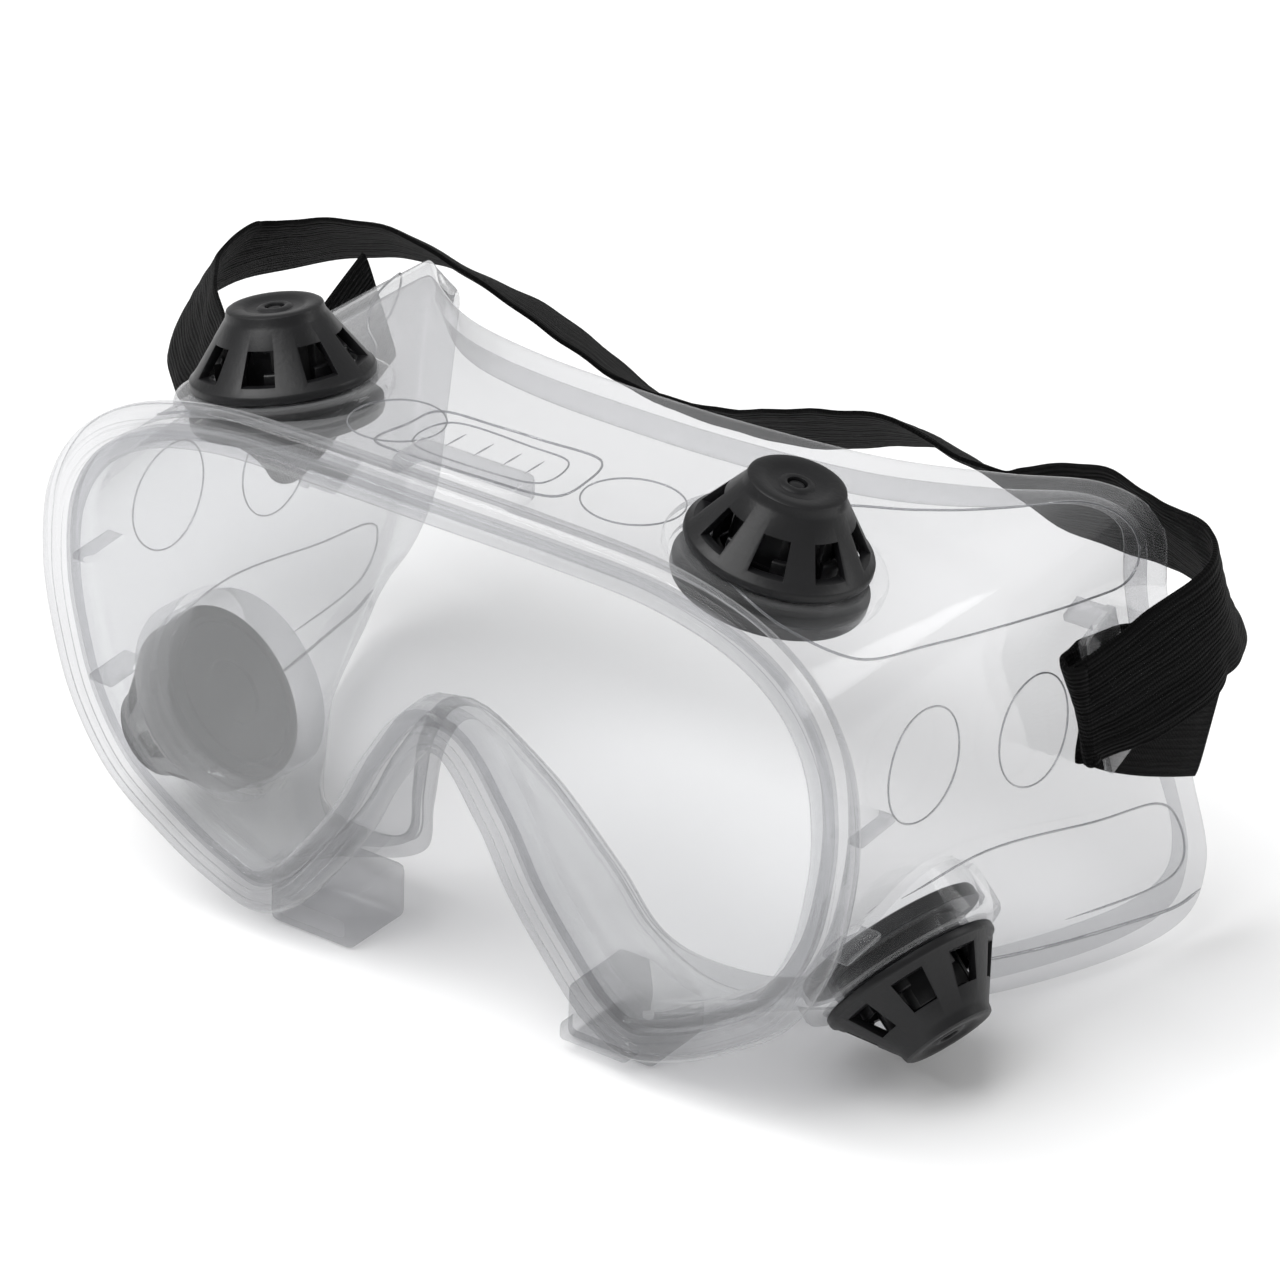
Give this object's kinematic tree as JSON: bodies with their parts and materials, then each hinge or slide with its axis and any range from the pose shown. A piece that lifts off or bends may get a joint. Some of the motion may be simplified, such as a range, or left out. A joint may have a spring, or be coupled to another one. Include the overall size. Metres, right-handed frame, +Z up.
{
  "type": "safety goggles",
  "caption": "Chemical-splash safety goggles with a clear flexible body, flat clear lens, round black indirect vents and an elastic head strap.",
  "frame": {"origin": "centre of the bounding box's bottom face; the bottom face is the table the goggles rest on", "axes": "+Z up, -Y the way the wearer looks, +X the wearer's left"},
  "size_m": [0.2146, 0.1242, 0.1027],
  "materials": {
    "clear_pvc": "clear, glossy, slightly hazy",
    "clear_lens": "clear, polished",
    "black_plastic": "satin",
    "black_webbing": "ribbed elastic weave"
  },
  "bodies": {
    "goggles": {"frame_body": "clear_pvc", "lens": "clear_lens", "vent_base_upper_right": "black_plastic", "vent_base_upper_left": "black_plastic", "vent_base_lower_right": "black_plastic", "vent_base_lower_left": "black_plastic", "strap_loop_left": "black_webbing", "strap_loop_right": "black_webbing"},
    "strap": {"strap_band": "black_webbing"},
    "cap_upper_right": {"vent_cap_upper_right": "black_plastic"},
    "cap_upper_left": {"vent_cap_upper_left": "black_plastic"},
    "cap_lower_right": {"vent_cap_lower_right": "black_plastic"},
    "cap_lower_left": {"vent_cap_lower_left": "black_plastic"}
  },
  "joints": [
    {"name": "strap_swing", "type": "hinge", "parent": "goggles", "child": "strap", "pos_m": [0.01328, 0.01035, 0.05765], "axis": [1, 0, 0], "range_deg": [-12, 50]},
    {"name": "cap_turn_upper_right", "type": "hinge", "parent": "goggles", "child": "cap_upper_right", "pos_m": [-0.03382, -0.03534, 0.08882], "axis": [-0.2005, 0.0607, 0.9778], "continuous": true},
    {"name": "cap_turn_upper_left", "type": "hinge", "parent": "goggles", "child": "cap_upper_left", "pos_m": [0.06038, -0.03534, 0.08882], "axis": [0.2005, 0.0607, 0.9778], "continuous": true},
    {"name": "cap_turn_lower_right", "type": "hinge", "parent": "goggles", "child": "cap_lower_right", "pos_m": [-0.05582, -0.02657, 0.01913], "axis": [-0.7712, -0.1732, -0.6126], "continuous": true},
    {"name": "cap_turn_lower_left", "type": "hinge", "parent": "goggles", "child": "cap_lower_left", "pos_m": [0.08238, -0.02657, 0.01913], "axis": [0.7712, -0.1732, -0.6126], "continuous": true}
  ]
}
